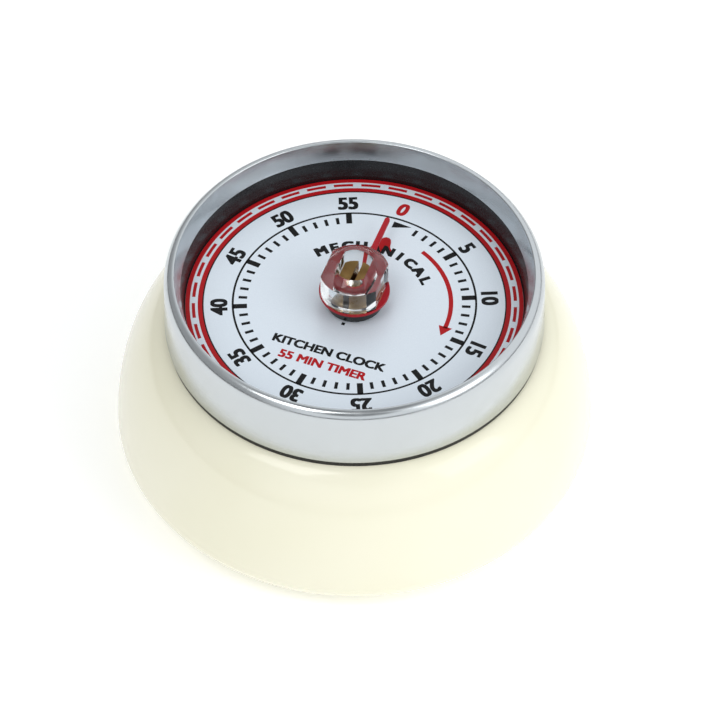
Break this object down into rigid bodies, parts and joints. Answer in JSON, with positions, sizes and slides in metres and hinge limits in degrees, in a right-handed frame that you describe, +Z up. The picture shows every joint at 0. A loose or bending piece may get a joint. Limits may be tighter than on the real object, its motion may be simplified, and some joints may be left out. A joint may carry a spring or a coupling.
{
  "type": "kitchen timer",
  "caption": "Round mechanical kitchen timer with cream enamelled case, chrome bezel, recessed printed dial, clear knob with red pointer, clockwork and bell.",
  "frame": {"origin": "centre of the base, on the surface the timer stands on", "axes": "+Z up along the main arbor, +Y towards the top of the printed dial, +X to the dial's right"},
  "size_m": [0.07, 0.07, 0.0365],
  "materials": {
    "cream_enamel": "glossy cream stoving enamel on steel",
    "chrome_plate": "polished chrome plate",
    "black_plastic": "moulded black plastic, semi-gloss",
    "dial_paint": "silver-blue lacquer with printed scale",
    "base_plastic": "moulded black plastic, fine texture",
    "clear_acrylic": "clear cast acrylic, polished",
    "red_paint": "red lacquer on stamped steel",
    "turned_brass": "turned brass",
    "wheel_brass": "stamped and cut brass",
    "plate_steel": "rolled steel sheet, nickel flashed",
    "turned_steel": "turned and polished steel",
    "spring_steel": "blued spring steel",
    "zinc_steel": "zinc-plated steel",
    "bell_steel": "nickel-plated pressed steel",
    "ferrite": "sintered ferrite"
  },
  "bodies": {
    "case": {"case_shell": "cream_enamel", "bezel_ring": "chrome_plate", "dial_cup": "black_plastic", "dial_plate": "dial_paint", "base_cover": "base_plastic", "base_screws": "zinc_steel", "magnet_ring": "ferrite", "magnet_yoke": "zinc_steel", "magnet_rivet": "zinc_steel", "front_plate": "plate_steel", "rear_plate": "plate_steel", "plate_pillars": "turned_steel", "movement_screws": "zinc_steel", "mainspring": "spring_steel", "spring_post": "turned_steel", "stop_pin": "turned_steel", "hammer_bridge": "plate_steel", "bell": "bell_steel", "bell_post": "turned_brass", "bell_screw": "zinc_steel"},
    "knob": {"clear_knob": "clear_acrylic", "pointer_hand": "red_paint", "pointer_hub": "black_plastic", "main_arbor": "turned_brass", "main_wheel": "wheel_brass", "trip_cam": "plate_steel", "ratchet_wheel": "wheel_brass", "click": "spring_steel", "click_rivet": "turned_brass", "stop_arm": "plate_steel"},
    "second_arbor": {"second_pinion": "turned_steel", "second_wheel": "wheel_brass"},
    "third_arbor": {"third_pinion": "turned_steel", "third_wheel": "wheel_brass", "star_wheel": "wheel_brass"},
    "escape_arbor": {"escape_pinion": "turned_steel", "escape_wheel": "wheel_brass"},
    "anchor": {"anchor_arbor": "turned_steel", "pallet_anchor": "spring_steel", "pallet_pins": "turned_steel", "balance_bar": "wheel_brass"},
    "hammer": {"hammer_arbor": "turned_steel", "release_lever": "plate_steel", "lifting_pin": "turned_steel", "hammer_arm": "spring_steel", "hammer_head": "turned_brass"}
  },
  "joints": [
    {"name": "knob_turn", "type": "hinge", "parent": "case", "child": "knob", "pos_m": [0, 0, 0.0185], "axis": [0, 0, -1], "range_deg": [0, 338], "stiffness_Nm_per_rad": 0.0015, "springref_deg": -143.24},
    {"name": "second_spin", "type": "hinge", "parent": "case", "child": "second_arbor", "pos_m": [0.01178, -0.0068, 0.0185], "axis": [0, 0, -1], "continuous": true},
    {"name": "third_spin", "type": "hinge", "parent": "case", "child": "third_arbor", "pos_m": [0.01308, 0.00291, 0.0185], "axis": [0, 0, -1], "continuous": true},
    {"name": "escape_spin", "type": "hinge", "parent": "case", "child": "escape_arbor", "pos_m": [0.0109, 0.01102, 0.0185], "axis": [0, 0, -1], "continuous": true},
    {"name": "anchor_rock", "type": "hinge", "parent": "case", "child": "anchor", "pos_m": [0.00608, 0.0148, 0.0185], "axis": [0, 0, 1], "range_deg": [-6, 6]},
    {"name": "hammer_swing", "type": "hinge", "parent": "case", "child": "hammer", "pos_m": [0.01878, 0.00399, 0.0185], "axis": [0, 0, 1], "range_deg": [-5, 4], "stiffness_Nm_per_rad": 0.001}
  ],
  "couplings": [
    {"joint": "second_spin", "follows": "knob_turn", "ratio": -7.5},
    {"joint": "third_spin", "follows": "knob_turn", "ratio": 45},
    {"joint": "escape_spin", "follows": "knob_turn", "ratio": -270}
  ]
}
